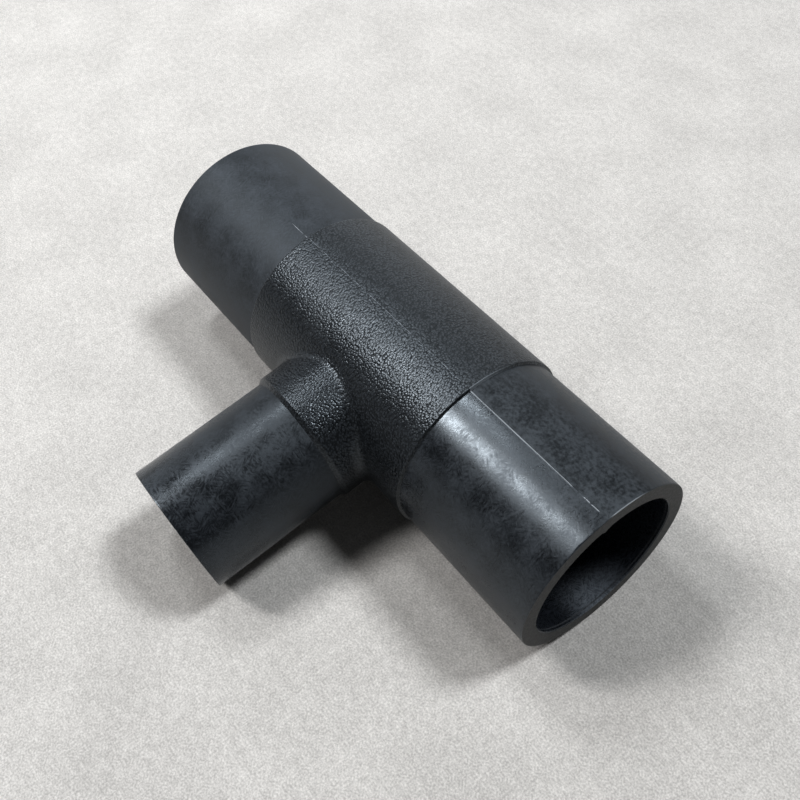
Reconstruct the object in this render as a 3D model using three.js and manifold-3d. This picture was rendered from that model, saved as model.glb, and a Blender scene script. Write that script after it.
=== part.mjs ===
// Reducing tee for pressure pipe, 90 x 63 mm, in black polyethylene, with plain ends for butt fusion.
// Millimetres, +Z up, lying on a level surface at z = 0. The run lies along X and the smaller branch
// points to -Y. The body is fatter than the branch, so the tee rests on the underside of its body and on
// the lower edge of its branch, and is rolled about X until both touch.
import * as THREE from "three";
import { mergeVertices } from "three/addons/utils/BufferGeometryUtils.js";
import Module from "manifold-3d";

const wasm = await Module();
wasm.setup();

// Pipe sizes. The walls are those of SDR 11 pipe, whose diameter is 11 times its wall.
const RUN_RADIUS = 90 / 2;
const RUN_WALL = 8.2;
const BRANCH_RADIUS = 63 / 2;
const BRANCH_WALL = 5.8;
const RUN_BORE_RADIUS = RUN_RADIUS - RUN_WALL;
const BRANCH_BORE_RADIUS = BRANCH_RADIUS - BRANCH_WALL;

// Reaches, measured from the point where the axes of the run and the branch cross.
const RUN_REACH = 137;
const BRANCH_REACH = 127;
const SHOULDER_FOOT = 59.1; // where all three spigots start

// The fatter middle, which steps down to the spigots at a shoulder.
const BODY_RADIUS = 46.35;
const BODY_RIM = 58.7;
const COLLAR_RADIUS = 33.2;
const COLLAR_RIM = 57.3;
const COLLAR_FILLET = 5; // rolling-ball fillet between the collar and the body

// Broken edges of the machined pipe ends.
const OUTER_CHAMFER = 0.3;
const INNER_CHAMFER = 0.5;

// Facets. A multiple of 4 puts a vertex at the top, bottom and both sides of every circle.
const AROUND = 96;
const FILLET_STEPS = 6;
const FILLET_ROOT = 1.5; // how far the fillet's root is buried in the body and the collar
const CUT_MARGIN = 10; // how far a cutting solid runs past the face that it opens

// Roll about X that brings the branch's lower edge down to the level of the body's underside:
// BRANCH_REACH * sin(ROLL) + BRANCH_RADIUS * cos(ROLL) = BODY_RADIUS.
const ROLL =
  Math.asin(BODY_RADIUS / Math.hypot(BRANCH_REACH, BRANCH_RADIUS)) -
  Math.atan2(BRANCH_RADIUS, BRANCH_REACH);
const BRANCH_SIDE_EXTENT = BRANCH_REACH * Math.cos(ROLL) + BRANCH_RADIUS * Math.sin(ROLL);

const grainedPE = new THREE.MeshStandardMaterial({
  name: "grained_pe",
  color: 0x22262a,
  roughness: 0.5,
  metalness: 0,
});
const smoothPE = new THREE.MeshStandardMaterial({
  name: "smooth_pe",
  color: 0x1d2226,
  roughness: 0.38,
  metalness: 0,
});

// A solid of revolution about Y. The outline holds [radius, y] pairs, counterclockwise, and it either
// starts and ends on the axis or is closed into a ring here.
function revolved(outline) {
  const points = outline.map(([radius, y]) => new THREE.Vector2(radius, y));
  const onAxis = outline[0][0] === 0;
  if (!onAxis) points.push(points[0].clone());
  return new THREE.LatheGeometry(points, AROUND);
}

// Turns a shape of revolution about +Y so that its axis points the given way.
const toFront = (geometry) => geometry.rotateZ(-Math.PI / 2);
const toRear = (geometry) => geometry.rotateZ(Math.PI / 2);
const toBranch = (geometry) => geometry.rotateZ(Math.PI);

// A plain pipe end about +Y: a tube from the shoulder's foot to the machined end face.
function spigot(radius, boreRadius, reach) {
  return revolved([
    [boreRadius, SHOULDER_FOOT],
    [radius, SHOULDER_FOOT],
    [radius, reach - OUTER_CHAMFER],
    [radius - OUTER_CHAMFER, reach],
    [boreRadius + INNER_CHAMFER, reach],
    [boreRadius, reach - INNER_CHAMFER],
  ]);
}

// The middle as a solid bar about +Y, with a steep shoulder at each end.
function bodyBar() {
  return revolved([
    [0, -SHOULDER_FOOT],
    [RUN_RADIUS, -SHOULDER_FOOT],
    [BODY_RADIUS, -BODY_RIM],
    [BODY_RADIUS, BODY_RIM],
    [RUN_RADIUS, SHOULDER_FOOT],
    [0, SHOULDER_FOOT],
  ]);
}

// The collar as a solid bar about +Y, with a bevelled shoulder.
function collarBar() {
  return revolved([
    [0, 0],
    [COLLAR_RADIUS, 0],
    [COLLAR_RADIUS, COLLAR_RIM],
    [BRANCH_RADIUS, SHOULDER_FOOT],
    [0, SHOULDER_FOOT],
  ]);
}

// A solid bar about +Y, for cutting a bore.
function boreBar(radius, from, to) {
  return revolved([
    [0, from],
    [radius, from],
    [radius, to],
    [0, to],
  ]);
}

// One section of the fillet, at an angle around the branch axis. A ball that touches both the collar and
// the body has its centre at BODY_RADIUS + COLLAR_FILLET from the run axis and COLLAR_RADIUS +
// COLLAR_FILLET from the branch axis. The section is the arc between its two points of contact, closed
// by a root point buried in both.
function filletSection(angle) {
  const centre = new THREE.Vector3(
    (COLLAR_RADIUS + COLLAR_FILLET) * Math.cos(angle),
    0,
    (COLLAR_RADIUS + COLLAR_FILLET) * Math.sin(angle),
  );
  centre.y = -Math.sqrt((BODY_RADIUS + COLLAR_FILLET) ** 2 - centre.z ** 2);
  const toCollar = new THREE.Vector3(-Math.cos(angle), 0, -Math.sin(angle));
  const toBody = new THREE.Vector3(0, -centre.y, -centre.z).normalize();
  const sweep = toCollar.angleTo(toBody);
  const section = [];
  for (let step = 0; step <= FILLET_STEPS; step++) {
    const share = step / FILLET_STEPS;
    const ray = toCollar.clone().multiplyScalar(Math.sin((1 - share) * sweep));
    ray.addScaledVector(toBody, Math.sin(share * sweep)).divideScalar(Math.sin(sweep));
    section.push(ray.multiplyScalar(COLLAR_FILLET).add(centre));
  }
  const between = toCollar.clone().add(toBody).normalize();
  const cornerDistance = COLLAR_FILLET / Math.cos(sweep / 2);
  section.push(centre.clone().addScaledVector(between, cornerDistance + FILLET_ROOT));
  return section;
}

// The fillet as a ring of sections around the branch.
function filletRing() {
  const positions = [];
  const index = [];
  const perSection = FILLET_STEPS + 2;
  for (let turn = 0; turn < AROUND; turn++) {
    const section = filletSection((turn / AROUND) * 2 * Math.PI);
    section.forEach((point) => positions.push(point.x, point.y, point.z));
    const here = turn * perSection;
    const next = ((turn + 1) % AROUND) * perSection;
    for (let i = 0; i < perSection; i++) {
      const j = (i + 1) % perSection;
      index.push(here + i, here + j, next + i);
      index.push(here + j, next + j, next + i);
    }
  }
  const geometry = new THREE.BufferGeometry();
  geometry.setAttribute("position", new THREE.Float32BufferAttribute(positions, 3));
  geometry.setIndex(index);
  return geometry;
}

// A closed geometry as a solid for cutting and joining.
function toSolid(geometry) {
  geometry.deleteAttribute("normal");
  geometry.deleteAttribute("uv");
  const merged = mergeVertices(geometry, 1e-3);
  return new wasm.Manifold(
    new wasm.Mesh({
      numProp: 3,
      vertProperties: merged.attributes.position.array,
      triVerts: new Uint32Array(merged.index.array),
    }),
  );
}

function toGeometry(solid) {
  const mesh = solid.getMesh();
  const geometry = new THREE.BufferGeometry();
  geometry.setAttribute("position", new THREE.BufferAttribute(mesh.vertProperties, 3));
  geometry.setIndex(new THREE.BufferAttribute(mesh.triVerts, 1));
  return geometry;
}

// The grained middle: the run's body and the branch's collar, bored through both ways.
function bodyGeometry() {
  const cutReach = SHOULDER_FOOT + CUT_MARGIN;
  const runBore = toFront(boreBar(RUN_BORE_RADIUS, -cutReach, cutReach));
  const branchBore = toBranch(boreBar(BRANCH_BORE_RADIUS, 0, cutReach));
  const solid = toSolid(toFront(bodyBar()))
    .add(toSolid(toBranch(collarBar())))
    .add(toSolid(filletRing()))
    .subtract(toSolid(runBore))
    .subtract(toSolid(branchBore));
  return toGeometry(solid);
}

function named(name, geometry, material) {
  const flat = geometry.index ? geometry.toNonIndexed() : geometry;
  flat.computeVertexNormals();
  const mesh = new THREE.Mesh(flat, material.clone());
  mesh.name = name;
  return mesh;
}

const tee = new THREE.Group();
tee.add(
  named("tee_body", bodyGeometry(), grainedPE),
  named("run_spigot_front", toFront(spigot(RUN_RADIUS, RUN_BORE_RADIUS, RUN_REACH)), smoothPE),
  named("run_spigot_rear", toRear(spigot(RUN_RADIUS, RUN_BORE_RADIUS, RUN_REACH)), smoothPE),
  named("branch_spigot", toBranch(spigot(BRANCH_RADIUS, BRANCH_BORE_RADIUS, BRANCH_REACH)), smoothPE),
);
tee.rotation.x = ROLL;
tee.position.set(0, (BRANCH_SIDE_EXTENT - BODY_RADIUS) / 2, BODY_RADIUS);

export default tee;
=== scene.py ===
"""Looks for a one-piece 90 x 63 mm reducing tee in black polyethylene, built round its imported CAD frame.

Shapes are worked out in the tee's own axes, in millimetres: the axes of the run and the branch cross at the
origin, the run lies along X, and the branch points to -Y. TO_FRAME turns them into the frame's metres.
"""

import math
from collections import namedtuple

import bmesh
import bpy
import numpy as np
from mathutils import Euler, Matrix, Vector, noise


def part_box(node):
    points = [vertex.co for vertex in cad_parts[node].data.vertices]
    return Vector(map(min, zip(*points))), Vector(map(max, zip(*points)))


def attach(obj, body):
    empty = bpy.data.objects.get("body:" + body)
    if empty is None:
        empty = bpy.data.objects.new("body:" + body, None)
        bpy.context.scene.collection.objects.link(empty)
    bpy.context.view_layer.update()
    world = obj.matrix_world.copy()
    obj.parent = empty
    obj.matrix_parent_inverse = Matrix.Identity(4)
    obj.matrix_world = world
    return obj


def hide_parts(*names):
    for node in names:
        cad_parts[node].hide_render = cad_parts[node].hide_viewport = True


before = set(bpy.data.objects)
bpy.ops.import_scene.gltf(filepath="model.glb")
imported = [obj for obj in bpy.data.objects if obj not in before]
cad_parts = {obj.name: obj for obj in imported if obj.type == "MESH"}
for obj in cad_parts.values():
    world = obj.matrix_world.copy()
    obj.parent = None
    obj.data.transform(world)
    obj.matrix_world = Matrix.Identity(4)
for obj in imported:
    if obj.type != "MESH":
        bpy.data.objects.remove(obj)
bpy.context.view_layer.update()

# ---------------------------------------------------------------- dimensions of the tee, in millimetres
# Reaches, rims and the foot are lengths from the crossing of the axes, and bores are radii.
RUN_RADIUS = 45.0
RUN_BORE = 36.8
RUN_REACH = 137.0
BRANCH_RADIUS = 31.5
BRANCH_BORE = 25.7
BRANCH_REACH = 127.0
SHOULDER_FOOT = 59.1
BODY_RADIUS = 46.35
BODY_RIM = 58.7
BODY_SINK = 0.1  # how far the grained surface lies below the CAD's, to leave room for the flash
RIM_ROUND = 0.22
SHOULDER_BEND = (58.95, 45.15)  # length and radius of the bend low on the run's shoulder
COLLAR_RADIUS = 33.2
COLLAR_RIM = 57.3
COLLAR_ROUND = 0.45
COLLAR_ROUND_END = 0.75  # how much of the collar's rounding is left before its bevel
COLLAR_BEVEL = ((58.3, 32.25), (58.95, 31.62))  # lengths and radii
COLLAR_FILLET = 5.0
OUTER_EDGE = 0.3
OUTER_EDGE_START = 0.8  # back from the end
INNER_EDGE = 0.5

# The mould's parting line: a thin raised line of flash at the top and bottom of the run.
SEAMS = (math.pi / 2, 3 * math.pi / 2)  # angles from -Y
FLASH_HEIGHT = 0.2
FLASH_HALF_WIDTH = 0.26
FLASH_LINES = (0.0, 0.09, 0.18, 0.26, 0.4, 0.8, 1.5, 2.5, 4.0)  # mesh lines each side of its middle
FRONT_FLASH_FADE = (115, 121)
FRONT_FLASH_BITS = ((124.2, 125, 127.2, 127.9), (128.5, 129.2, 131.6, 132.8))
REAR_FLASH_FADE = (64, 86)
BODY_FLASH_FADE = (BODY_RIM - 1.6, BODY_RIM - 0.9)

# The flat scraped along the front spigot beside the parting line.
SCRAPE_DEPTH = 0.1
SCRAPE_FROM_SEAM = 2.9
SCRAPE_HALF_ARC = 10
SCRAPE_FADE = (84, 104)

# Unevenness of the moulded surfaces: waves per millimetre, waves round the pipe, phase and share.
WAVES = ((0.16, 2, 0.0, 1.0), (0.09, -3, 1.3, 1.0), (0.27, 5, 0.4, 0.7))
WAVE_DEPTH = 0.025
WAVE_START = 6  # the length beyond the foot over which the waves set in

# Places cut from the ends' outer edges, and burrs on the inner one: degrees, half-width in radians, size.
FRONT_CUTS = ((71, 0.09, 0.5), (100, 0.2, 0.2))
FRONT_BURRS = ((88.5, 0.06, 1.7), (92, 0.03, 0.9), (84, 0.04, 0.25))
BRANCH_CUTS = ((57, 0.06, 0.5), (49, 0.05, 0.4), (4, 0.08, 0.35), (150, 0.1, 0.3))

# Mesh spacing.
STEP = 1.0
BORE_STEP = 3.0
AROUND_RUN = 288
AROUND_BRANCH = 240
AROUND_BODY = 160  # round the part of the body that faces away from the branch
WINDOW_HALF = math.radians(75)  # the patch of the body round the branch, as an angle each side of -Y
WINDOW_ROUND = 128
WINDOW_ALONG = 104
SHARP_ANGLE = math.radians(38)
WELD = 2e-6  # metres

OUTER, CUT, BORE = 0, 1, 2  # places in a piece's list of materials
MM = 0.001

# ---------------------------------------------------------------- looks
# Colours are linear.
# Painted shade in the hollows between the grain's pebbles.
GRAIN_VALLEY_SHADE = (0.004, 0.0048, 0.006, 1)
GRAIN_NEAR = (0.03, 0.034, 0.0395, 1)
# The grain's far half is paler, partly for its mould half's finish and partly as painted sheen.
GRAIN_FAR_WITH_SHEEN = (0.042, 0.047, 0.053, 1)
# Painted highlight on the front rim's far side and on the body's flash crest, which is also worn pale.
GRAIN_HIGHLIGHT_AND_RUB = (0.15, 0.165, 0.18, 1)
SCUFF_BLACK = (0.005, 0.006, 0.0075, 1)
SCUFF_FRONT = (0.04, 0.0455, 0.053, 1)
SCUFF_REAR = (0.048, 0.0545, 0.064, 1)
SCUFF_BRANCH = (0.038, 0.0435, 0.051, 1)
SPECKLE_BLACK = (0.004, 0.0048, 0.006, 1)
SPECKLE_PALE = (0.036, 0.041, 0.047, 1)
# Painted highlight on the flash crest, which is also worn pale, and on the front end's outer edge beside the
# seam.
FLASH_PALE_AND_HIGHLIGHT = (0.3, 0.32, 0.34, 1)
NICK_BLACK = (0.003, 0.0035, 0.004, 1)
CUT_DARK = (0.018, 0.019, 0.019, 1)
CUT_PALE = (0.038, 0.0398, 0.0395, 1)
BORE_BLACK = (0.003, 0.0038, 0.005, 1)
BORE_PALE = (0.016, 0.019, 0.025, 1)
# A painted highlight low in the bore just inside the front end.
BORE_PAINTED_HIGHLIGHT = (0.17, 0.19, 0.215, 1)
BORE_RING = (0.05, 0.053, 0.058, 1)
PAPER_DARK = (0.392, 0.3775, 0.36, 1)
PAPER_PALE = (0.737, 0.714, 0.683, 1)
GLOSS_TINT = (0.84, 0.93, 1.0, 1)

# Roughness, as a range over the marks of a surface or as one value.
GRAIN_ROUGH = (0.27, 0.35)
GRAIN_ROUGH_SEAM = 0.36
GRAIN_ROUGH_FAR = 0.4
FRONT_ROUGH = (0.27, 0.43)
REAR_ROUGH = (0.48, 0.62)
BRANCH_ROUGH = (0.25, 0.48)
SPECKLE_ROUGH = (0.36, 0.52)
NICK_ROUGH = 0.6
CUT_ROUGH = (0.45, 0.6)
BORE_ROUGH = (0.22, 0.34)
PAPER_ROUGH = (0.85, 0.95)

# Depths of relief and strokes, in millimetres; a stroke is its length, width and direction in degrees.
GRAIN_DEPTH = 0.11
SCUFF_DEPTH = 0.035
CUT_DEPTH = 0.03
BORE_DEPTH = 0.03
PAPER_DEPTH = 0.2
STROKES = ((2.9, 0.9, 40), (3.3, 0.85, -32), (2.4, 1.0, 88))

# Gloss: the index of refraction of the moulded plastic and of the cut ends.
PLASTIC_IOR = 1.58
CUT_IOR = 1.42

# ---------------------------------------------------------------- floor, lights and camera, in metres
FLOOR_HALF = 12.0
# Painted light: the floor's colour gets paler along this direction, standing in for the lights' falloff.
FLOOR_PAINTED_LIGHT_DIRECTION = (-0.72, 0.69, 0.0)  # the direction in which the paper gets paler
COOL_WHITE = (0.94, 0.97, 1.0)
NEAR_WHITE = (0.99, 0.99, 1.0)
SKY_WHITE = (0.98, 0.99, 1.0, 1)
CAMERA_FROM_CROSSING = Vector((0.23618, -0.15794, 0.35182))
CAMERA_AZIMUTH = 56.383
CAMERA_ELEVATION = 53.106
CAMERA_ROLL = -5.15
CAMERA_LENS = 42.43
CAMERA_SENSOR = 36


# ---------------------------------------------------------------- placing
def tee_axes():
    """The matrix from the tee's axes, in millimetres, to the frame, in metres."""
    low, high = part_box("run_spigot_front")
    crossing = Vector((0, (low.y + high.y) / 2, (low.z + high.z) / 2))
    branch_edge = math.hypot(BRANCH_REACH, BRANCH_RADIUS)
    roll = math.asin(BODY_RADIUS / branch_edge) - math.atan2(BRANCH_RADIUS, BRANCH_REACH)
    return Matrix.Translation(crossing) @ Matrix.Rotation(roll, 4, "X") @ Matrix.Scale(MM, 4)


TO_FRAME = tee_axes()


# ---------------------------------------------------------------- mesh building
class Skin:
    """The vertices and quads of one piece, gathered as grids and welded together at the end."""

    def __init__(self):
        self.points = []
        self.quads = []
        self.finishes = []
        self.count = 0

    def grid(self, rows, finish):
        """Adds a grid of points, shaped (rows, columns, 3), with one finish."""
        n, m, _ = rows.shape
        corner = self.count + np.arange(n * m).reshape(n, m)
        quads = np.stack([corner[:-1, :-1], corner[1:, :-1], corner[1:, 1:], corner[:-1, 1:]], -1)
        self.points.append(rows.reshape(-1, 3))
        self.quads.append(quads.reshape(-1, 4))
        self.finishes.append(np.full((n - 1) * (m - 1), finish))
        self.count += n * m

    def piece(self, name, materials):
        """The welded, outward-facing mesh object in the frame's metres."""
        mesh = bpy.data.meshes.new(name)
        mesh.from_pydata(np.concatenate(self.points).tolist(), [], np.concatenate(self.quads).tolist())
        mesh.polygons.foreach_set("material_index", np.concatenate(self.finishes).astype(np.int32))
        mesh.transform(TO_FRAME)
        welded = bmesh.new()
        welded.from_mesh(mesh)
        bmesh.ops.remove_doubles(welded, verts=welded.verts, dist=WELD)
        bmesh.ops.recalc_face_normals(welded, faces=welded.faces)
        welded.to_mesh(mesh)
        welded.free()
        mesh.polygons.foreach_set("use_smooth", np.ones(len(mesh.polygons), bool))
        mesh.set_sharp_from_angle(angle=SHARP_ANGLE)
        for material in materials:
            mesh.materials.append(material)
        made = bpy.data.objects.new(name, mesh)
        bpy.context.scene.collection.objects.link(made)
        return made


def ramp(value, start, end):
    """0 before start, 1 after end, smooth in between."""
    share = np.clip((value - start) / (end - start), 0, 1)
    return share * share * (3 - 2 * share)


def shares(count):
    """A column of count even shares from 0 to 1."""
    return np.linspace(0, 1, count)[:, None]


def spread(start, end, step):
    """Evenly spaced values from start to end, about step apart."""
    return np.linspace(start, end, max(2, round(abs(end - start) / step) + 1))


def angles(start, end, count, seams=(), radius=1.0):
    """Even angles from start to end, with the flash's fine lines in place of those near each seam."""
    found = np.linspace(start, end, count + 1)
    offsets = np.array(sorted({*FLASH_LINES, *(-line for line in FLASH_LINES)})) / radius
    for seam in seams:
        found = np.concatenate([found[abs(found - seam) > offsets[-1] * 1.1], seam + offsets])
    return np.sort(found)


def wobble(values, seed):
    """A slow, repeatable wander between -1 and 1 along lengths in millimetres."""
    found = [noise.noise(Vector((value * 0.11, seed, 0.3))) for value in np.ravel(values)]
    return np.array(found).reshape(np.shape(values))


def turn_from(angle, middle):
    """Signed angle from a middle, between half a turn each way."""
    return np.mod(angle - middle + math.pi, 2 * math.pi) - math.pi


# ---------------------------------------------------------------- surface relief of the run and branch
def flash_ridge(angle, radius):
    """Cross-section of the flash lines at the top and bottom, as a height."""
    height = 0
    for seam in SEAMS:
        arc = abs(turn_from(angle, seam) * radius)
        height = height + FLASH_HEIGHT * np.clip(1 - arc / FLASH_HALF_WIDTH, 0, 1)
    return height


def waviness(length, angle):
    """Slight unevenness of moulded polyethylene, up to 0.05 mm below the true surface."""
    swell = 0
    for along, around, phase, share in WAVES:
        swell = swell + share * np.sin(along * length + around * angle + phase)
    return -WAVE_DEPTH * (1 + swell / sum(share for *_, share in WAVES))


def spigot_waves(length, angle, shift=0):
    """A spigot's unevenness, which sets in beyond the shoulder's foot; shift gives each its own pattern."""
    return waviness(length + shift, angle) * ramp(length, SHOULDER_FOOT, SHOULDER_FOOT + WAVE_START)


def scraped_flat(length, angle):
    """Shallow flat scraped along the front spigot beside the parting line, as a negative height."""
    arc = turn_from(angle, SEAMS[0]) * RUN_RADIUS + SCRAPE_FROM_SEAM
    from_middle = np.clip(arc, -SCRAPE_HALF_ARC, SCRAPE_HALF_ARC)
    chord = (RUN_RADIUS - SCRAPE_DEPTH) / np.cos(from_middle / RUN_RADIUS) - RUN_RADIUS
    return np.minimum(chord, 0) * ramp(length, *SCRAPE_FADE)


def front_relief(length, angle):
    """The front spigot: strong flash that breaks off before the end, and the scraped flat."""
    present = 1 - ramp(length, *FRONT_FLASH_FADE)
    for rise, full, fall, gone in FRONT_FLASH_BITS:
        present = present + ramp(length, rise, full) * (1 - ramp(length, fall, gone))
    strength = present * (0.8 + 0.3 * wobble(length, 1.0))
    ridge = flash_ridge(angle, RUN_RADIUS) * strength
    return ridge + scraped_flat(length, angle) + spigot_waves(length, angle)


def rear_relief(length, angle):
    """The rear spigot: weak, ragged flash that fades a little way from the shoulder."""
    strength = (1 - ramp(length, *REAR_FLASH_FADE)) * (0.35 + 0.45 * wobble(length * 3, 2.0))
    ridge = flash_ridge(angle, RUN_RADIUS) * np.clip(strength, 0, 1)
    return ridge + spigot_waves(length, angle, 40)


def branch_relief(length, angle):
    """The branch: no parting line, only slight unevenness."""
    return spigot_waves(length, angle, 90)


def body_relief(length, angle):
    """The body: faint, broken flash that dies out at both shoulders."""
    strength = np.clip(0.55 + 0.6 * wobble(length * 1.7, 3.0), 0.1, 1) * 0.55
    strength = strength * (1 - ramp(abs(length), *BODY_FLASH_FADE))
    return flash_ridge(angle, BODY_RADIUS) * strength - BODY_SINK


# ---------------------------------------------------------------- spigots
Pipe = namedtuple("Pipe", "radius bore reach around")
Form = namedtuple("Form", "point relief cuts burrs")


def run_point(side):
    """The function that places (length, angle from -Y, radius) on the front (+1) or rear (-1) of the run."""
    return lambda s, a, r: np.stack([side * s + 0 * a, -r * np.cos(a), r * np.sin(a) + 0 * s], -1)


def branch_point(s, a, r):
    """Turns (length, angle from +X, radius) into a point on the branch."""
    return np.stack([r * np.cos(a), -s + 0 * a, r * np.sin(a) + 0 * s], -1)


def bites(angle, places):
    """Smooth bumps at places round a pipe, each given as (degrees, half-width in radians, size)."""
    total = 0 * angle
    for degrees, half_width, size in places:
        total = total + size * (1 - ramp(abs(turn_from(angle, math.radians(degrees))), 0, half_width))
    return total


def outer_wall(skin, pipe, form):
    """A spigot's outside, from the shoulder's foot round the end's rounded edge; returns its radii."""
    around = pipe.around[None, :]
    edge = OUTER_EDGE + bites(around, form.cuts)
    stations = spread(SHOULDER_FOOT, pipe.reach - 1.5 * OUTER_EDGE_START, STEP)
    stations = np.append(stations, pipe.reach - OUTER_EDGE_START)[:, None]
    wall = pipe.radius + form.relief(stations, around)
    turn = np.radians([0, 22, 45, 68, 90])[:, None]
    edge_length = pipe.reach - edge + edge * np.sin(turn)
    edge_radius = wall[-1:] - edge + edge * np.cos(turn)
    length = np.concatenate([stations + 0 * around, edge_length])
    radius = np.concatenate([wall, edge_radius])
    skin.grid(form.point(length, around, radius), OUTER)
    return radius


def spigot(name, pipe, form, materials):
    """A plain pipe end: outer surface, machined end face, and bore, closed at the shoulder's foot."""
    skin = Skin()
    radius = outer_wall(skin, pipe, form)
    around = pipe.around[None, :]
    burr = bites(around, form.burrs)
    bore = pipe.bore + 0 * around

    face_inner = bore + INNER_EDGE - burr
    face = radius[-1:] + (face_inner - radius[-1:]) * shares(7)
    skin.grid(form.point(pipe.reach + 0 * face, around, face), CUT)

    lip = np.concatenate([face_inner, bore - 0.8 * burr, bore - 0.3 * burr, bore])
    lip_length = pipe.reach - np.array([0, INNER_EDGE, 1.3, 2.4])[:, None]
    skin.grid(form.point(lip_length + 0 * around, around, lip), BORE)
    inside = spread(lip_length[-1, 0], SHOULDER_FOOT, BORE_STEP)[:, None]
    skin.grid(form.point(inside + 0 * around, around, bore + 0 * inside), BORE)

    joint = np.concatenate([bore, radius[:1]])
    skin.grid(form.point(SHOULDER_FOOT + 0 * joint, around, joint), BORE)
    return skin.piece(name, materials)


# ---------------------------------------------------------------- body
def window_border(radius, x_end):
    """Closed outline of the patch round the branch, as (x, arc) from the branch's axis."""
    w = radius * WINDOW_HALF
    up = np.linspace(-w, w, WINDOW_ROUND + 1)
    back = np.linspace(x_end, -x_end, WINDOW_ALONG + 1)
    right = np.stack([np.full_like(up, x_end), up], -1)
    top = np.stack([back, np.full_like(back, w)], -1)
    left = np.stack([np.full_like(up, -x_end), up[::-1]], -1)
    bottom = np.stack([back[::-1], np.full_like(back, -w)], -1)
    return np.concatenate([right[:-1], top[:-1], left[:-1], bottom])


def on_cylinder(flat, radius, relief=None):
    """Wraps (x, arc) points round the run."""
    x, angle = flat[..., 0], flat[..., 1] / radius
    r = radius + (relief(x, angle) if relief else 0)
    return np.stack([x, -r * np.cos(angle), r * np.sin(angle)], -1)


def windowed_cylinder(skin, radius, x_end, hole, rest, rows, finish, relief=None):
    """A cylinder with a hole for the branch: a patch from the hole's edge out to a rectangle, in rows, and
    an even grid round the rest of the angles."""
    border = window_border(radius, x_end)
    skin.grid(on_cylinder(hole + (border - hole) * shares(rows + 1)[:, None], radius, relief), finish)
    along = np.linspace(x_end, -x_end, WINDOW_ALONG + 1)
    flat = np.stack(np.broadcast_arrays(along[:, None], rest[None, :] * radius), -1)
    skin.grid(on_cylinder(flat, radius, relief), finish)


def fillet_frame(around):
    """Centres of the rolling ball round the collar, and its directions to the collar and the body."""
    reach = COLLAR_RADIUS + COLLAR_FILLET
    x, z = reach * np.cos(around), reach * np.sin(around)
    centre = np.stack([x, -np.sqrt((BODY_RADIUS + COLLAR_FILLET) ** 2 - z**2), z], -1)
    to_collar = np.stack([-np.cos(around), 0 * around, -np.sin(around)], -1)
    to_body = -centre * [0, 1, 1]
    return centre, to_collar, to_body / np.linalg.norm(to_body, axis=-1, keepdims=True)


def fillet_rows(around, steps):
    """Rows of the fillet from the body up to the collar."""
    centre, to_collar, to_body = fillet_frame(around)
    sweep = np.arccos((to_collar * to_body).sum(-1, keepdims=True))
    rows = []
    for share in np.linspace(0, 1, steps + 1):
        ray = (np.sin((1 - share) * sweep) * to_body + np.sin(share * sweep) * to_collar) / np.sin(sweep)
        rows.append(centre + COLLAR_FILLET * ray)
    return np.stack(rows)


def collar_profile():
    """The collar's rounded rim, bevel and foot, as (length, radius) pairs."""
    turn = np.radians([0, 15, 30, 45])
    rim = []
    for a in turn:
        forward = math.sin(a) / math.sin(turn[-1]) * COLLAR_ROUND_END
        radius = COLLAR_RADIUS - COLLAR_ROUND * (1 - math.cos(a))
        rim.append((COLLAR_RIM - COLLAR_ROUND * (1 - forward), radius))
    return [*rim, *COLLAR_BEVEL, (SHOULDER_FOOT, BRANCH_RADIUS)]


def shoulder_profile():
    """The run's rounded rim and steep shoulder, as (length, radius) pairs."""
    rim = []
    for a in np.radians([0, 25, 50, 75]):
        radius = BODY_RADIUS - BODY_SINK - RIM_ROUND * (1 - math.cos(a))
        rim.append((BODY_RIM - RIM_ROUND + RIM_ROUND * math.sin(a), radius))
    return [*rim, SHOULDER_BEND, (SHOULDER_FOOT, RUN_RADIUS)]


def add_collar(skin, around, foot):
    """The collar of the branch, with its fillet from the foot on the body and its bevelled rim."""
    fillet = fillet_rows(around, 14)
    fillet[0] = foot
    skin.grid(fillet, OUTER)
    profile = collar_profile()
    top = fillet[-1][:, 1]
    y = top + (-profile[0][0] - top) * shares(25)
    wall = np.broadcast_arrays(COLLAR_RADIUS * np.cos(around), y, COLLAR_RADIUS * np.sin(around))
    skin.grid(np.stack(wall, -1), OUTER)
    length, radius = np.array(profile).T[:, :, None]
    skin.grid(branch_point(length + 0 * around, around[None, :], radius + 0 * around), OUTER)


def add_bores(skin, around, rest):
    """The ring of the branch's joint, its bore, and the run's bore, with their crossing."""
    joint = np.array([[BRANCH_RADIUS], [BRANCH_BORE]]) + 0 * around
    skin.grid(branch_point(SHOULDER_FOOT + 0 * joint, around[None, :], joint), BORE)
    meet_z = BRANCH_BORE * np.sin(around)
    meet_y = -np.sqrt(RUN_BORE**2 - meet_z**2)
    y = -SHOULDER_FOOT + (meet_y + SHOULDER_FOOT) * shares(13)
    wall = np.broadcast_arrays(BRANCH_BORE * np.cos(around), y, meet_z)
    skin.grid(np.stack(wall, -1), BORE)
    hole = np.stack([BRANCH_BORE * np.cos(around), RUN_BORE * np.arcsin(meet_z / RUN_BORE)], -1)
    windowed_cylinder(skin, RUN_BORE, SHOULDER_FOOT, hole, rest, 14, BORE)


def add_shoulders(skin, rest):
    """The steep shoulders at both ends of the body, and the rings where the run's spigots join it."""
    ring = np.concatenate([np.linspace(-WINDOW_HALF, WINDOW_HALF, WINDOW_ROUND + 1), rest[1:]])[None, :]
    length, radius = np.array([*shoulder_profile(), (SHOULDER_FOOT, RUN_BORE)]).T[:, :, None]
    for side in (1, -1):
        skin.grid(run_point(side)(length + 0 * ring, ring, radius + 0 * ring), OUTER)


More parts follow.
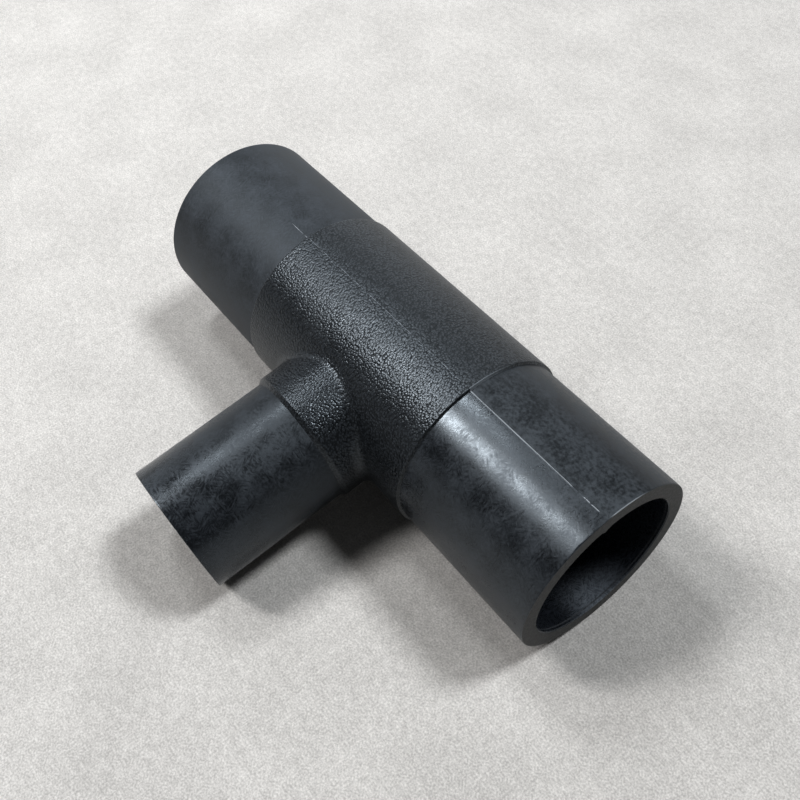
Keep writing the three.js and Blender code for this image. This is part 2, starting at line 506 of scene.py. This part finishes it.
def body_piece(materials):
    """The grained middle: body, collar, fillet, shoulders and bores as one closed skin."""
    skin = Skin()
    x_end = BODY_RIM - RIM_ROUND
    border = window_border(BODY_RADIUS, x_end)
    around = np.unwrap(np.arctan2(border[:, 1], border[:, 0]))
    rest = angles(WINDOW_HALF, 2 * math.pi - WINDOW_HALF, AROUND_BODY, SEAMS, BODY_RADIUS)

    foot_x = (COLLAR_RADIUS + COLLAR_FILLET) * np.cos(around)
    foot_z = (COLLAR_RADIUS + COLLAR_FILLET) * np.sin(around) * BODY_RADIUS / (BODY_RADIUS + COLLAR_FILLET)
    hole = np.stack([foot_x, BODY_RADIUS * np.arcsin(foot_z / BODY_RADIUS)], -1)
    windowed_cylinder(skin, BODY_RADIUS, x_end, hole, rest, 44, OUTER, body_relief)
    add_collar(skin, around, on_cylinder(hole, BODY_RADIUS, body_relief))
    add_bores(skin, around, rest)
    add_shoulders(skin, rest)
    return skin.piece("tee_body_skin", materials)


# ---------------------------------------------------------------- shader nodes
def add(tree, kind, inputs=(), **settings):
    """A new node, with its settings and its inputs, each a value or another node's output."""
    node = tree.nodes.new(kind)
    for key, value in settings.items():
        setattr(node, key, value)
    for key, value in dict(inputs).items():
        if isinstance(value, bpy.types.NodeSocket):
            tree.links.new(value, node.inputs[key])
        else:
            node.inputs[key].default_value = value
    return node


def maths(tree, operation, first, second=0.0):
    """One step of arithmetic on numbers or outputs."""
    return add(tree, "ShaderNodeMath", {0: first, 1: second}, operation=operation).outputs[0]


def times(tree, first, second):
    """The product of two numbers or outputs."""
    return maths(tree, "MULTIPLY", first, second)


def plus(tree, first, second):
    """The sum of two numbers or outputs."""
    return maths(tree, "ADD", first, second)


def larger(tree, first, second):
    """The larger of two numbers or outputs."""
    return maths(tree, "MAXIMUM", first, second)


def unsigned(tree, value):
    """An output without its sign."""
    return maths(tree, "ABSOLUTE", value)


def remap(tree, value, low, high, to_low=0.0, to_high=1.0, smooth=True):
    """Moves the range low..high of an output to to_low..to_high."""
    inputs = {"Value": value, "From Min": low, "From Max": high, "To Min": to_low, "To Max": to_high}
    kind = "SMOOTHSTEP" if smooth else "LINEAR"
    return add(tree, "ShaderNodeMapRange", inputs, interpolation_type=kind).outputs[0]


def mixed(tree, share, first, second, kind="FLOAT"):
    """A number or colour between two others, by share."""
    mix = tree.nodes.new("ShaderNodeMix")
    mix.data_type = kind
    wanted = {"FLOAT": (0, 2, 3, 0), "RGBA": (0, 6, 7, 2)}[kind]
    for index, value in zip(wanted, (share, first, second)):
        if isinstance(value, bpy.types.NodeSocket):
            tree.links.new(value, mix.inputs[index])
        else:
            mix.inputs[index].default_value = value
    return mix.outputs[wanted[3]]


def blended(tree, share, first, second):
    """A colour between two colours, by share."""
    return mixed(tree, share, first, second, "RGBA")


def layered(tree, share, under, over):
    """A (colour, roughness) pair between two others, by share."""
    return blended(tree, share, under[0], over[0]), mixed(tree, share, under[1], over[1])


def noise_at(tree, place, size, detail=2.0, roughness=0.5, distortion=0.0):
    """Noise with features of about size, in the units of place."""
    inputs = {"Vector": place, "Scale": 1 / size, "Detail": detail, "Roughness": roughness}
    inputs["Distortion"] = distortion
    return add(tree, "ShaderNodeTexNoise", inputs).outputs[0]


def strokes(tree, place, length, width, degrees):
    """Noise drawn out into strokes of a length and width, in one direction of a flat place."""
    inputs = {"Vector": place, "Rotation": (0, 0, math.radians(degrees)), "Scale": (length, width, 1)}
    turned = add(tree, "ShaderNodeMapping", inputs, vector_type="TEXTURE").outputs[0]
    return noise_at(tree, turned, 1.0, 6.0, 0.74, 0.3)


def crossed_strokes(tree, place):
    """Short strokes in three directions, changing from patch to patch."""
    first, second, third = [strokes(tree, place, *stroke) for stroke in STROKES]
    here = remap(tree, noise_at(tree, place, 5.0, 2.0), 0.36, 0.64)
    there = remap(tree, noise_at(tree, place, 6.5, 2.0), 0.4, 0.66)
    return mixed(tree, there, mixed(tree, here, first, second), third)


def tee_place(tree):
    """Coordinates along the tee's own axes, in millimetres."""
    source = add(tree, "ShaderNodeTexCoord").outputs["Object"]
    location, rotation, _ = TO_FRAME.decompose()
    inputs = {"Vector": source, "Location": location, "Rotation": rotation.to_euler()}
    inputs["Scale"] = (MM, MM, MM)
    return add(tree, "ShaderNodeMapping", inputs, vector_type="TEXTURE").outputs[0]


def first_axis(tree, place):
    """The first coordinate of a place: its length along the run or the branch."""
    return add(tree, "ShaderNodeSeparateXYZ", {0: place}).outputs[0]


def pipe_place(tree, on_run, radius):
    """A flat place along and round a pipe, its arc from the top, and the height above the surface."""
    x, y, z = add(tree, "ShaderNodeSeparateXYZ", {0: tee_place(tree)}).outputs
    along, side = (x, y) if on_run else (y, x)
    arc = times(tree, maths(tree, "ARCTAN2", side, z), radius)
    square = plus(tree, maths(tree, "POWER", side, 2), maths(tree, "POWER", z, 2))
    height = maths(tree, "SUBTRACT", maths(tree, "SQRT", square), radius)
    return add(tree, "ShaderNodeCombineXYZ", {0: along, 1: arc}).outputs[0], arc, height


def crest_highlight_and_wear(tree, arc, above, floor_height):
    """1 on the crest of the flash at the top of the run, worn pale and partly a painted highlight; 0
    elsewhere.
    """
    near_top = remap(tree, unsigned(tree, arc), 1.0, 0.8)
    return times(tree, near_top, remap(tree, above, floor_height, floor_height + 0.05))


# ---------------------------------------------------------------- materials
def new_material(name):
    """A material, its tree and its shader, with nothing else in the tree but the output."""
    material = bpy.data.materials.new(name)
    material.use_nodes = True
    return material, material.node_tree, material.node_tree.nodes["Principled BSDF"]


def black_plastic(name):
    """A material for black polyethylene: its tree and shader, with a faint blue cast in its gloss."""
    material, tree, shader = new_material(name)
    shader.inputs["IOR"].default_value = PLASTIC_IOR
    shader.inputs["Specular Tint"].default_value = GLOSS_TINT
    return material, tree, shader


def finish_material(tree, shader, colour, roughness, height, depth):
    """Joins colour, roughness and bump, with its depth in millimetres, to the shader."""
    bump = add(tree, "ShaderNodeBump", {"Height": height, "Distance": depth * MM, "Strength": 1.0})
    tree.links.new(colour, shader.inputs["Base Color"])
    tree.links.new(roughness, shader.inputs["Roughness"])
    tree.links.new(bump.outputs[0], shader.inputs["Normal"])


def grain_cells(tree, place):
    """Distance from the middle of the nearest pebble of the grain, with its cells pushed out of line."""
    warp = add(tree, "ShaderNodeTexNoise", {"Vector": place, "Scale": 1.1, "Detail": 1.0}).outputs["Color"]
    inputs = {0: warp, 1: (0.3, 0.3, 0.3), 2: place}
    warped = add(tree, "ShaderNodeVectorMath", inputs, operation="MULTIPLY_ADD").outputs[0]
    return add(tree, "ShaderNodeTexVoronoi", {"Vector": warped, "Scale": 0.95}).outputs["Distance"]


def grain_roughness(tree, place, arc, far_half):
    """The grain's roughness: low and patchy on the near half, even beside the seam, higher beyond it."""
    patchy = remap(tree, noise_at(tree, place, 15.0, 3.0), 0.3, 0.7, *GRAIN_ROUGH)
    seam_band = maths(tree, "SUBTRACT", remap(tree, arc, -7.0, -3.5), far_half)
    return mixed(tree, far_half, mixed(tree, seam_band, patchy, GRAIN_ROUGH_SEAM), GRAIN_ROUGH_FAR)


def body_highlight_and_rub(tree, along, arc, above, far_half):
    """1 where the body is pale: a painted highlight on the front rim's far side, the flash's crest, worn
    pale and partly a painted highlight, and faintly the rear rim.
    """
    front_rim = remap(tree, along, BODY_RIM - 0.45, BODY_RIM - 0.2)
    # Painted highlight on the front rim's far side.
    highlit_side = times(tree, far_half, remap(tree, arc, 28.0, 4.0))
    rear_rim = times(tree, remap(tree, along, 0.35 - BODY_RIM, 0.15 - BODY_RIM), 0.22)
    highlight_and_rub = larger(tree, times(tree, front_rim, highlit_side), crest_highlight_and_wear(tree, arc, above, -0.07))
    return larger(tree, highlight_and_rub, rear_rim)


def grained_polyethylene():
    """Black polyethylene with the pebbled grain of the mould's middle part."""
    material, tree, shader = black_plastic("grained_polyethylene")
    place = tee_place(tree)
    cells = grain_cells(tree, place)
    pebble = times(tree, maths(tree, "POWER", cells, 2.0), -1.6)
    height = plus(tree, pebble, times(tree, noise_at(tree, place, 0.5), 0.1))
    _, arc, above = pipe_place(tree, True, BODY_RADIUS)
    far_half = remap(tree, arc, -0.1, 0.1)
    roughness = grain_roughness(tree, place, arc, far_half)
    # Far half paler: partly its own finish, partly painted sheen.
    crown = blended(tree, far_half, GRAIN_NEAR, GRAIN_FAR_WITH_SHEEN)
    # The hollows between pebbles are darker: painted shade.
    black = blended(tree, remap(tree, cells, 0.15, 0.65), crown, GRAIN_VALLEY_SHADE)
    # Paler on the front rim's far side and the flash crest: painted highlight, with some real wear on the
    # crest.
    highlight_and_rub = body_highlight_and_rub(tree, first_axis(tree, place), arc, above, far_half)
    colour = blended(tree, highlight_and_rub, black, GRAIN_HIGHLIGHT_AND_RUB)
    finish_material(tree, shader, colour, roughness, height, GRAIN_DEPTH)
    return material


def scuffs(tree, place):
    """Crossed strokes gathered into clouds: the strokes, the clouds, and the marks they make together."""
    crossed = crossed_strokes(tree, place)
    clouds = noise_at(tree, place, 11.0, 3.0, 0.55)
    marks = remap(tree, plus(tree, crossed, times(tree, clouds, 0.4)), 0.52, 0.92)
    return crossed, clouds, marks


def scuff_relief(tree, place, crossed):
    """The height of the strokes, with a finer unevenness over them."""
    return plus(tree, crossed, times(tree, noise_at(tree, place, 0.8, 2.0), 0.5))


def front_near_look(tree, marks, along):
    """Colour and roughness of the front spigot's near half, glossier by the shoulder."""
    scuffed = remap(tree, marks, 0.0, 1.0, *FRONT_ROUGH)
    roughness = times(tree, scuffed, remap(tree, along, 58.0, 80.0, 0.74, 1.0))
    return blended(tree, marks, SCUFF_BLACK, SCUFF_FRONT), roughness


def front_far_look(tree, place, clouds):
    """Colour and roughness of the front spigot's far half: a fine speckle in place of strokes."""
    fine = plus(tree, noise_at(tree, place, 1.9, 4.0, 0.75), times(tree, clouds, 0.5))
    speckle = remap(tree, fine, 0.55, 0.95)
    colour = blended(tree, speckle, SPECKLE_BLACK, SPECKLE_PALE)
    return colour, remap(tree, speckle, 0.0, 1.0, *SPECKLE_ROUGH)


def rear_look(tree, marks):
    """Colour and roughness of the rear spigot: matt, with paler marks."""
    return blended(tree, marks, SCUFF_BLACK, SCUFF_REAR), remap(tree, marks, 0.0, 1.0, *REAR_ROUGH)


def run_crest_highlight(tree, along, arc, above):
    """1 on the crest of the flash, worn pale and partly a painted highlight, and on the front end's outer
    edge beside it, a painted highlight; 0 elsewhere.
    """
    edge = remap(tree, along, RUN_REACH - 0.4, RUN_REACH - 0.15)
    beside_seam = times(tree, remap(tree, arc, 1.0, 4.0), remap(tree, arc, 24.0, 12.0))
    return larger(tree, times(tree, edge, beside_seam), crest_highlight_and_wear(tree, arc, above, 0.0))


def seam_nicks(tree, place, along, arc):
    """1 in the small nicks left beside the parting line towards the front end, 0 elsewhere."""
    near_end = remap(tree, along, 84.0, 124.0)
    beside = times(tree, remap(tree, arc, -12.0, -6.0), remap(tree, arc, 5.0, 1.5))
    nicks = remap(tree, noise_at(tree, place, 1.8, 4.0, 0.7), 0.55, 0.65)
    return times(tree, nicks, times(tree, near_end, beside))


def run_polyethylene():
    """Black polyethylene of the run's plain ends, wiped and scuffed in short strokes."""
    material, tree, shader = black_plastic("run_polyethylene")
    place, arc, above = pipe_place(tree, True, RUN_RADIUS)
    crossed, clouds, marks = scuffs(tree, place)
    along = first_axis(tree, place)
    front = remap(tree, along, -1.0, 1.0)
    far_half = times(tree, front, remap(tree, arc, -0.1, 0.1))
    look = layered(tree, front, rear_look(tree, marks), front_near_look(tree, marks, along))
    colour, roughness = layered(tree, far_half, look, front_far_look(tree, place, clouds))
    # Painted highlight on the flash crest and on the front end's outer edge by the seam.
    colour = blended(tree, run_crest_highlight(tree, along, arc, above), colour, FLASH_PALE_AND_HIGHLIGHT)
    nicks = seam_nicks(tree, place, along, arc)
    colour, roughness = layered(tree, nicks, (colour, roughness), (NICK_BLACK, NICK_ROUGH))
    finish_material(tree, shader, colour, roughness, scuff_relief(tree, place, crossed), SCUFF_DEPTH)
    return material


def branch_polyethylene():
    """Black polyethylene of the branch's plain end, scuffed like the run's and glossier towards its end."""
    material, tree, shader = black_plastic("branch_polyethylene")
    place, _, _ = pipe_place(tree, False, BRANCH_RADIUS)
    crossed, _, marks = scuffs(tree, place)
    colour = blended(tree, marks, SCUFF_BLACK, SCUFF_BRANCH)
    from_end = remap(tree, first_axis(tree, place), -122.0, -74.0, 0.76, 1.3)
    roughness = times(tree, remap(tree, marks, 0.0, 1.0, *BRANCH_ROUGH), from_end)
    finish_material(tree, shader, colour, roughness, scuff_relief(tree, place, crossed), SCUFF_DEPTH)
    return material


def cut_polyethylene():
    """The machined end faces: matt, with fine marks of the facing tool."""
    material, tree, shader = new_material("cut_polyethylene")
    shader.inputs["IOR"].default_value = CUT_IOR
    place = tee_place(tree)
    marks = noise_at(tree, place, 1.2, 4.0, 0.6)
    colour = blended(tree, marks, CUT_DARK, CUT_PALE)
    roughness = remap(tree, marks, 0.3, 0.7, *CUT_ROUGH)
    finish_material(tree, shader, colour, roughness, marks, CUT_DEPTH)
    return material


def mouth_painted_highlight(tree, along, arc, crossed):
    """The strength of the painted highlight low down just inside the front end, where light through the
    mouth would fall.
    """
    low_down = remap(tree, unsigned(tree, arc), 94.0, 116.0)
    near_end = remap(tree, along, 116.0, RUN_REACH)
    return times(tree, times(tree, low_down, near_end), remap(tree, crossed, 0.2, 0.7))


def mouth_ring(tree, along):
    """1 on the thin pale ring just inside each end of the run, 0 elsewhere."""
    from_ring = unsigned(tree, maths(tree, "SUBTRACT", unsigned(tree, along), RUN_REACH - 1.7))
    return remap(tree, from_ring, 0.4, 0.2)


def bore_polyethylene():
    """The bores: glossier than the outside, with strokes left by wiping."""
    material, tree, shader = black_plastic("bore_polyethylene")
    place, arc, _ = pipe_place(tree, True, RUN_BORE)
    crossed = crossed_strokes(tree, place)
    marks = remap(tree, crossed, 0.35, 0.65)
    along = first_axis(tree, place)
    colour = blended(tree, marks, BORE_BLACK, BORE_PALE)
    # Painted highlight low down inside the front end's mouth.
    colour = blended(tree, mouth_painted_highlight(tree, along, arc, crossed), colour, BORE_PAINTED_HIGHLIGHT)
    colour = blended(tree, mouth_ring(tree, along), colour, BORE_RING)
    roughness = remap(tree, marks, 0.0, 1.0, *BORE_ROUGH)
    finish_material(tree, shader, colour, roughness, crossed, BORE_DEPTH)
    return material


def paper_tone(tree, place, fibre):
    """The paper's share of pale: fibres, tufts, wide clouds, and a painted gradient of light across the
    floor.
    """
    tuft = noise_at(tree, place, 0.004, 3.0, 0.6)
    cloud = noise_at(tree, place, 0.045, 4.0, 0.55)
    speck = remap(tree, fibre, 0.3, 0.7, -0.36, 0.36, smooth=False)
    soft = remap(tree, tuft, 0.3, 0.7, -0.14, 0.14, smooth=False)
    wide = remap(tree, cloud, 0.3, 0.7, -0.1, 0.1, smooth=False)
    across = add(tree, "ShaderNodeVectorMath", {0: place, 1: FLOOR_PAINTED_LIGHT_DIRECTION}, operation="DOT_PRODUCT")
    # Painted light: the floor gets paler in one direction across it.
    painted_falloff = remap(tree, across.outputs["Value"], -0.28, 0.28, 0.32, 0.45)
    return plus(tree, plus(tree, speck, soft), plus(tree, wide, painted_falloff))


def floor_material():
    """Pale felt-like paper."""
    material, tree, shader = new_material("pale_paper")
    place = add(tree, "ShaderNodeTexCoord").outputs["Object"]
    fibre = noise_at(tree, place, 0.0009, 2.0, 0.6)
    colour = blended(tree, paper_tone(tree, place, fibre), PAPER_DARK, PAPER_PALE)
    roughness = remap(tree, fibre, 0.3, 0.7, *PAPER_ROUGH)
    finish_material(tree, shader, colour, roughness, fibre, PAPER_DEPTH)
    return material


# ---------------------------------------------------------------- floor, lights and camera
def add_floor():
    """A plain pale floor under the lowest points of the object."""
    mesh = bpy.data.meshes.new("floor")
    corners = [(x * FLOOR_HALF, y * FLOOR_HALF, 0) for x, y in ((-1, -1), (1, -1), (1, 1), (-1, 1))]
    mesh.from_pydata(corners, [], [(0, 1, 2, 3)])
    mesh.materials.append(floor_material())
    floor = bpy.data.objects.new("floor", mesh)
    floor.location.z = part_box("tee_body")[0].z
    bpy.context.scene.collection.objects.link(floor)


def add_room():
    """Even light from the room, palest near the horizon."""
    world = bpy.data.worlds.new("room")
    world.use_nodes = True
    tree = world.node_tree
    direction = add(tree, "ShaderNodeTexCoord").outputs["Generated"]
    up = add(tree, "ShaderNodeSeparateXYZ", {0: direction}).outputs[2]
    strength = remap(tree, up, 0.0, 0.35, 0.6, 0.06)
    tree.links.new(strength, tree.nodes["Background"].inputs["Strength"])
    tree.nodes["Background"].inputs["Color"].default_value = SKY_WHITE
    bpy.context.scene.world = world


def add_light(light, name, direction, distance, power, colour):
    """Puts a light at a distance from the crossing of the axes, facing it from a direction."""
    light.energy = power
    light.color = colour
    lamp = bpy.data.objects.new(name, light)
    direction = Vector(direction).normalized()
    lamp.location = TO_FRAME.translation + direction * distance
    lamp.rotation_euler = direction.to_track_quat("Z", "Y").to_euler()
    bpy.context.scene.collection.objects.link(lamp)
    return lamp


def add_panel(name, direction, distance, size, power, colour=COOL_WHITE):
    """A soft rectangular light, with its distance and size in metres and its power in watts."""
    light = bpy.data.lights.new(name, "AREA")
    light.shape = "RECTANGLE"
    light.size, light.size_y = size
    add_light(light, name, direction, distance, power, colour).visible_camera = False


def add_far_light(name, direction, spread_angle, strength):
    """A soft light from far away, with its spread in degrees and its strength in watts per square metre."""
    light = bpy.data.lights.new(name, "SUN")
    light.angle = math.radians(spread_angle)
    add_light(light, name, direction, 1.0, strength, COOL_WHITE)


def add_lights():
    """The room, soft main lights from the left and the right, a small one between them, and wide fills."""
    add_room()
    add_panel("panel_left", (-0.40, -0.40, 0.82), 4.0, (0.59, 1.33), 96.0, NEAR_WHITE)
    add_far_light("panel_right", (0.22, 0.44, 0.87), 12.0, 2.15)
    add_panel("panel_middle", (-0.46, 0.0, 0.89), 1.5, (0.27, 0.27), 5.8)
    add_panel("fill_back", (-0.66, 0.62, 0.42), 2.0, (1.2, 1.2), 5.5)
    add_panel("fill_left", (-0.89, -0.2, 0.42), 2.0, (1.2, 1.2), 3.5)
    add_panel("fill_low", (-0.52, 0.85, 0.16), 1.8, (1.4, 0.4), 1.0)


def add_camera():
    """The camera, at the photograph's viewing angle."""
    data = bpy.data.cameras.new("camera")
    data.lens = CAMERA_LENS
    data.sensor_width = CAMERA_SENSOR
    camera = bpy.data.objects.new("camera", data)
    azimuth, elevation = math.radians(CAMERA_AZIMUTH), math.radians(CAMERA_ELEVATION)
    aim = Euler((math.pi / 2 - elevation, 0, azimuth)).to_matrix()
    camera.rotation_euler = (aim @ Matrix.Rotation(math.radians(CAMERA_ROLL), 3, "Z")).to_euler()
    camera.location = TO_FRAME.translation + CAMERA_FROM_CROSSING
    bpy.context.scene.collection.objects.link(camera)
    bpy.context.scene.camera = camera


# ---------------------------------------------------------------- the object
def make_pieces():
    """The four pieces, each in place of its CAD node."""
    inner = [cut_polyethylene(), bore_polyethylene()]
    grained = [grained_polyethylene(), *inner]
    run_smooth = [run_polyethylene(), *inner]
    branch_smooth = [branch_polyethylene(), *inner]
    run_angles = angles(0, 2 * math.pi, AROUND_RUN, SEAMS, RUN_RADIUS)
    run = Pipe(RUN_RADIUS, RUN_BORE, RUN_REACH, run_angles)
    branch = Pipe(BRANCH_RADIUS, BRANCH_BORE, BRANCH_REACH, angles(0, 2 * math.pi, AROUND_BRANCH))
    front = Form(run_point(1), front_relief, FRONT_CUTS, FRONT_BURRS)
    rear = Form(run_point(-1), rear_relief, (), ())
    side = Form(branch_point, branch_relief, BRANCH_CUTS, ())
    made = [
        (body_piece(grained), "tee_body", "grained_pe"),
        (spigot("run_spigot_front_skin", run, front, run_smooth), "run_spigot_front", "smooth_pe"),
        (spigot("run_spigot_rear_skin", run, rear, run_smooth), "run_spigot_rear", "smooth_pe"),
        (spigot("branch_spigot_skin", branch, side, branch_smooth), "branch_spigot", "smooth_pe"),
    ]
    for piece, node, slot in made:
        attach(piece, "root")
        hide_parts(node)


make_pieces()
add_floor()
add_lights()
add_camera()
bpy.context.scene.view_settings.view_transform = "Standard"
bpy.context.scene.view_settings.gamma = 0.85

bpy.context.view_layer.update()
